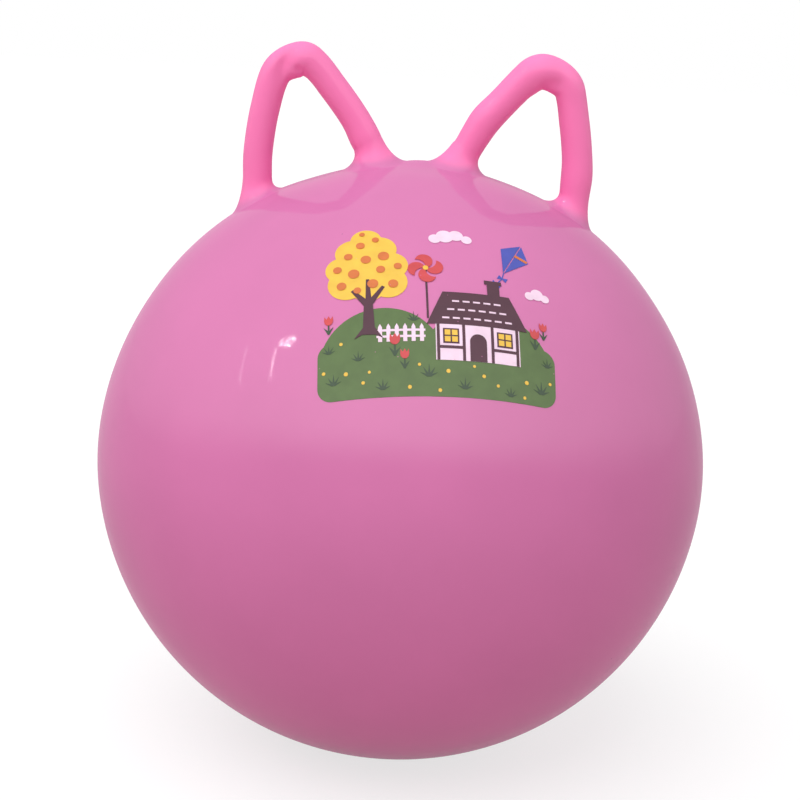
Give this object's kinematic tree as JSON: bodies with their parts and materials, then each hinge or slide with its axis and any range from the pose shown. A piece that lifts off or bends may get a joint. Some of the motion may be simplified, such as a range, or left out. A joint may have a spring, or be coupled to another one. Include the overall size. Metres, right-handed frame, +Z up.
{
  "type": "hopper ball",
  "caption": "Inflatable vinyl hopper ball with looped tube handles shaped like ears, a recessed air valve with a pull-out stopper and a printed garden picture.",
  "frame": {"origin": "middle of the flat patch on which the ball stands, on the floor", "axes": "+Z up through the crown between the ears; -Y towards the side with the picture; +X towards the right ear as the picture is seen"},
  "size_m": [0.45, 0.45, 0.523],
  "materials": {
    "ball_vinyl": "semi-gloss moulded soft vinyl, pink",
    "ear_vinyl": "semi-gloss moulded soft vinyl, deeper pink where it is thicker",
    "valve_vinyl": "injection moulded soft vinyl, pink",
    "stopper": "injection moulded polyethylene, off-white",
    "ink_green": "screen printed vinyl ink, grass green",
    "ink_dark_green": "screen printed vinyl ink, dark green",
    "ink_white": "screen printed vinyl ink, pinkish white",
    "ink_yellow": "screen printed vinyl ink, yellow",
    "ink_orange": "screen printed vinyl ink, orange",
    "ink_brown": "screen printed vinyl ink, maroon brown",
    "ink_red": "screen printed vinyl ink, red",
    "ink_blue": "screen printed vinyl ink, blue"
  },
  "bodies": {
    "ball": {"ball_skin": "ball_vinyl", "left_ear": "ear_vinyl", "right_ear": "ear_vinyl", "valve_seat": "valve_vinyl", "print_green": "ink_green", "print_dark_green": "ink_dark_green", "print_white": "ink_white", "print_yellow": "ink_yellow", "print_orange": "ink_orange", "print_brown": "ink_brown", "print_red": "ink_red", "print_blue": "ink_blue"},
    "stopper": {"valve_plug": "stopper"}
  },
  "joints": [
    {"name": "stopper_pull", "type": "slide", "parent": "ball", "child": "stopper", "axis": [0, 0.9397, 0.342], "range_m": [0, 0.026]}
  ]
}
